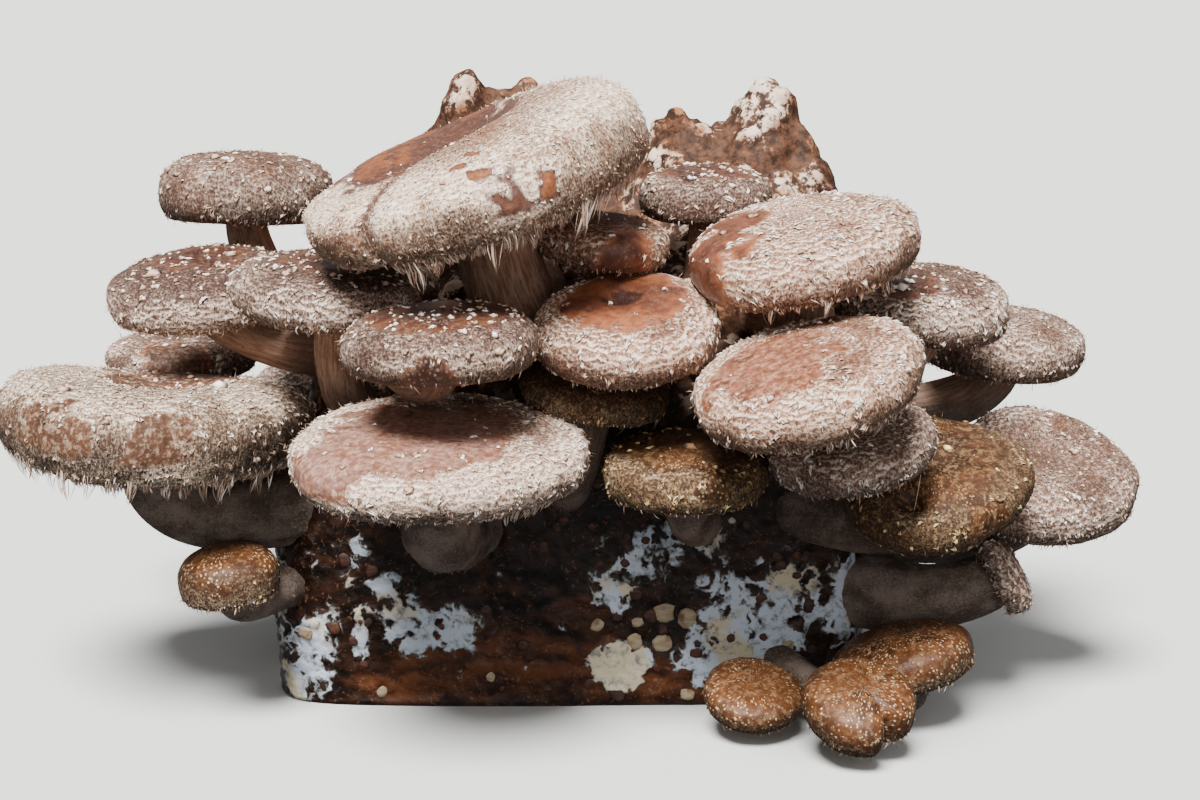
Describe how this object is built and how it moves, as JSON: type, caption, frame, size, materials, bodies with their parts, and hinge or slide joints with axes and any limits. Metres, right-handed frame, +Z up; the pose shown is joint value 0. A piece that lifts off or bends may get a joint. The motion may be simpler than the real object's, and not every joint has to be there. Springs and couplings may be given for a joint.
{
  "type": "shiitake grow block",
  "caption": "Sawdust grow block with a lumpy crust and white mycelium, crowded with brown shiitake mushrooms on its front, sides, top and back; it stands on its flat base",
  "frame": {"origin": "middle of the block's flat base", "axes": "+Z up, -Y out of the most crowded front face, +X to the right seen from the front"},
  "size_m": [0.3578, 0.2984, 0.1999],
  "materials": {
    "sawdust_block": "damp matt crust",
    "cap_skin": "satin skin with dry pale scales",
    "stem_flesh": "matt and fibrous"
  },
  "bodies": {
    "root": {"sawdust_block": "sawdust_block", "cap_far_left_wide": "cap_skin", "stem_far_left_wide": "stem_flesh", "cap_front_low_wide": "cap_skin", "stem_front_low_wide": "stem_flesh", "cap_front_left_mid": "cap_skin", "stem_front_left_mid": "stem_flesh", "cap_centre_round": "cap_skin", "stem_centre_round": "stem_flesh", "cap_front_right_wide": "cap_skin", "stem_front_right_wide": "stem_flesh", "cap_low_centre": "cap_skin", "stem_low_centre": "stem_flesh", "cap_tucked_centre": "cap_skin", "stem_tucked_centre": "stem_flesh", "cap_right_under": "cap_skin", "stem_right_under": "stem_flesh", "cap_right_low_split": "cap_skin", "stem_right_low_split": "stem_flesh", "cap_far_right_saddle": "cap_skin", "stem_far_right_saddle": "stem_flesh", "cap_right_upper": "cap_skin", "stem_right_upper": "stem_flesh", "cap_far_right_upper": "cap_skin", "stem_far_right_upper": "stem_flesh", "cap_upper_right_wide": "cap_skin", "stem_upper_right_wide": "stem_flesh", "cap_top_right_small": "cap_skin", "stem_top_right_small": "stem_flesh", "cap_top_centre_tucked": "cap_skin", "stem_top_centre_tucked": "stem_flesh", "cap_top_large_lobed": "cap_skin", "stem_top_large_lobed": "stem_flesh", "cap_top_left": "cap_skin", "stem_top_left": "stem_flesh", "cap_left_upper": "cap_skin", "stem_left_upper": "stem_flesh", "cap_left_upper_front": "cap_skin", "stem_left_upper_front": "stem_flesh", "cap_left_tucked": "cap_skin", "stem_left_tucked": "stem_flesh", "cap_left_button": "cap_skin", "stem_left_button": "stem_flesh", "cap_bottom_right_tilted": "cap_skin", "stem_bottom_right_tilted": "stem_flesh", "cap_bottom_right_folded": "cap_skin", "stem_bottom_right_folded": "stem_flesh", "cap_bottom_right_low": "cap_skin", "stem_bottom_right_low": "stem_flesh", "cap_right_edge_small": "cap_skin", "stem_right_edge_small": "stem_flesh", "cap_back_high": "cap_skin", "stem_back_high": "stem_flesh", "cap_back_left": "cap_skin", "stem_back_left": "stem_flesh", "cap_back_right": "cap_skin", "stem_back_right": "stem_flesh", "cap_back_low": "cap_skin", "stem_back_low": "stem_flesh"}
  },
  "joints": []
}
